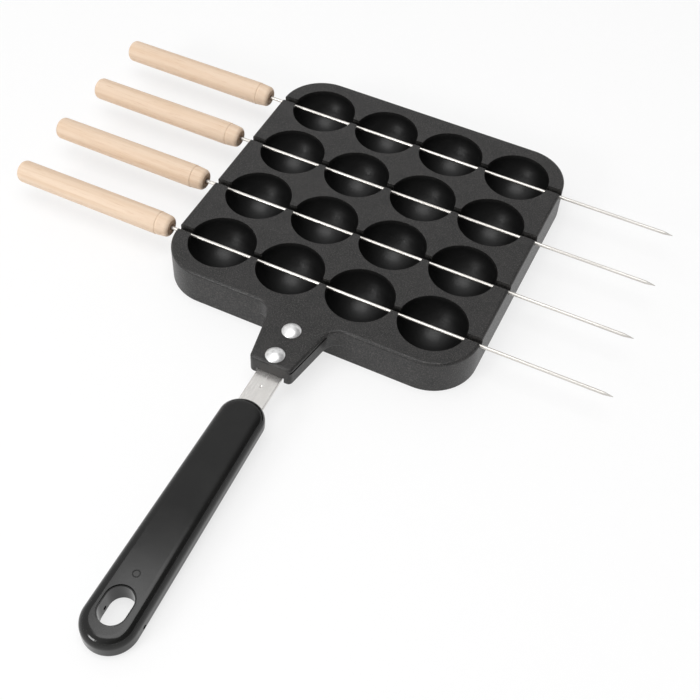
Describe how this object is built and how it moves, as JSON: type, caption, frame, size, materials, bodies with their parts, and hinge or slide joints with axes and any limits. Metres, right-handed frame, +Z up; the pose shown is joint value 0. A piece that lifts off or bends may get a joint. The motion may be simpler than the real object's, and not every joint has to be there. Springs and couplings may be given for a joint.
{
  "type": "takoyaki maker",
  "caption": "Square cast takoyaki pan with round cups in rows, a skewer with a wooden handle in a groove along each row, and a riveted steel and plastic handle.",
  "frame": {"origin": "below the centre of the plate, in the plane of the rim that the plate rests on", "axes": "+Z up, the handle runs towards -Y, the skewers lie along X with their points towards +X"},
  "size_m": [0.372, 0.3893, 0.0261],
  "materials": {
    "non_stick_casting": "cast aluminium under a dark, finely speckled non-stick coating",
    "tang_steel": "rolled steel strip, satin",
    "grip_plastic": "black moulded phenolic, glossy",
    "screw_steel": "zinc-plated steel",
    "rivet_metal": "bright polished head",
    "needle_steel": "drawn and polished stainless wire",
    "turned_wood": "pale turned hardwood, sanded, bare"
  },
  "bodies": {
    "pan": {"cooking_plate": "non_stick_casting", "handle_tang": "tang_steel", "grip": "grip_plastic", "grip_screw": "screw_steel", "rivet_1": "rivet_metal", "rivet_2": "rivet_metal"},
    "skewer_1": {"needle_1": "needle_steel", "wooden_handle_1": "turned_wood"},
    "skewer_2": {"needle_2": "needle_steel", "wooden_handle_2": "turned_wood"},
    "skewer_3": {"needle_3": "needle_steel", "wooden_handle_3": "turned_wood"},
    "skewer_4": {"needle_4": "needle_steel", "wooden_handle_4": "turned_wood"}
  },
  "joints": [
    {"name": "skewer_1_lift", "type": "slide", "parent": "pan", "child": "skewer_1", "axis": [0, 0, 1], "range_m": [0, 0.12]},
    {"name": "skewer_2_lift", "type": "slide", "parent": "pan", "child": "skewer_2", "axis": [0, 0, 1], "range_m": [0, 0.12]},
    {"name": "skewer_3_lift", "type": "slide", "parent": "pan", "child": "skewer_3", "axis": [0, 0, 1], "range_m": [0, 0.12]},
    {"name": "skewer_4_lift", "type": "slide", "parent": "pan", "child": "skewer_4", "axis": [0, 0, 1], "range_m": [0, 0.12]}
  ]
}
